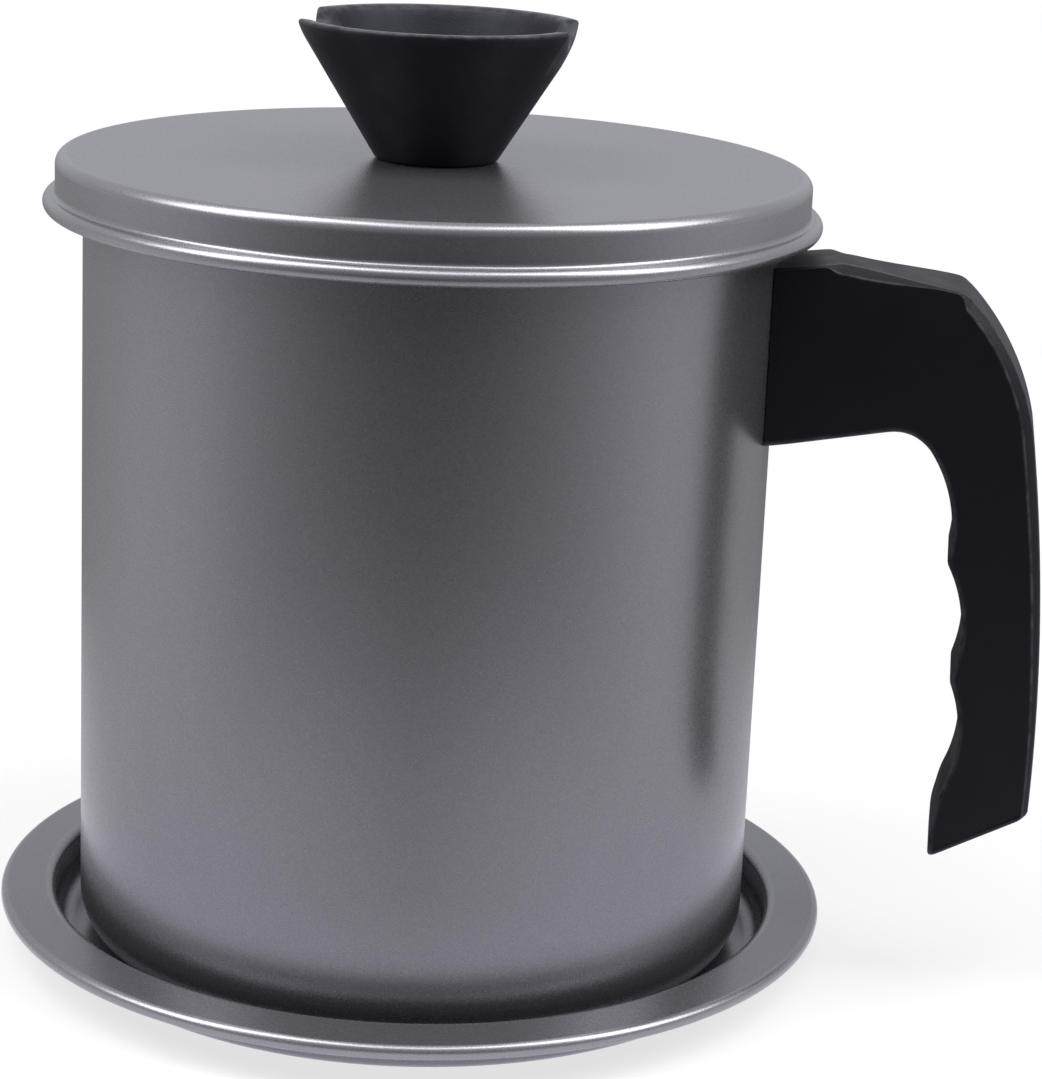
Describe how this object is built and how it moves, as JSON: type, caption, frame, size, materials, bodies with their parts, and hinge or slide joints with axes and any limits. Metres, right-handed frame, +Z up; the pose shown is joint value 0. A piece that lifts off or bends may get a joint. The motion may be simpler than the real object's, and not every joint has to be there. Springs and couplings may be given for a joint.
{
  "type": "lidded grease container",
  "caption": "Lidded metal pot with a side handle, a hanging strainer under a lift-off lid, and a drip tray to stand in.",
  "frame": {"origin": "middle of the drip tray's underside, on the pot's axis", "axes": "+Z up along the pot's axis, +X towards the handle, +Y to the handle's left"},
  "size_m": [0.1847, 0.1482, 0.1644],
  "materials": {
    "coated_steel": "satin metal-flake non-stick coating",
    "plastic": "fine-textured black moulded phenolic",
    "stainless": "brushed",
    "woven_wire": "woven stainless wire",
    "zinc_steel": "plated",
    "brass": "machined"
  },
  "bodies": {
    "tray": {"drip_tray": "coated_steel"},
    "pot": {"pot_body": "coated_steel", "handle_bracket": "zinc_steel", "handle_grip": "plastic", "handle_washer": "zinc_steel", "handle_screw": "zinc_steel"},
    "strainer": {"strainer_rim": "stainless", "strainer_mesh": "woven_wire", "strainer_hoop": "stainless"},
    "lid": {"lid_shell": "coated_steel", "lid_knob": "plastic", "knob_insert": "brass", "knob_washer": "zinc_steel", "knob_screw": "zinc_steel"}
  },
  "joints": [
    {"name": "pot_lift", "type": "slide", "parent": "tray", "child": "pot", "axis": [0, 0, 1], "range_m": [0, 0.05]},
    {"name": "strainer_lift", "type": "slide", "parent": "pot", "child": "strainer", "axis": [0, 0, 1], "range_m": [0, 0.05]},
    {"name": "lid_lift", "type": "slide", "parent": "strainer", "child": "lid", "axis": [0, 0, 1], "range_m": [0, 0.06]}
  ]
}
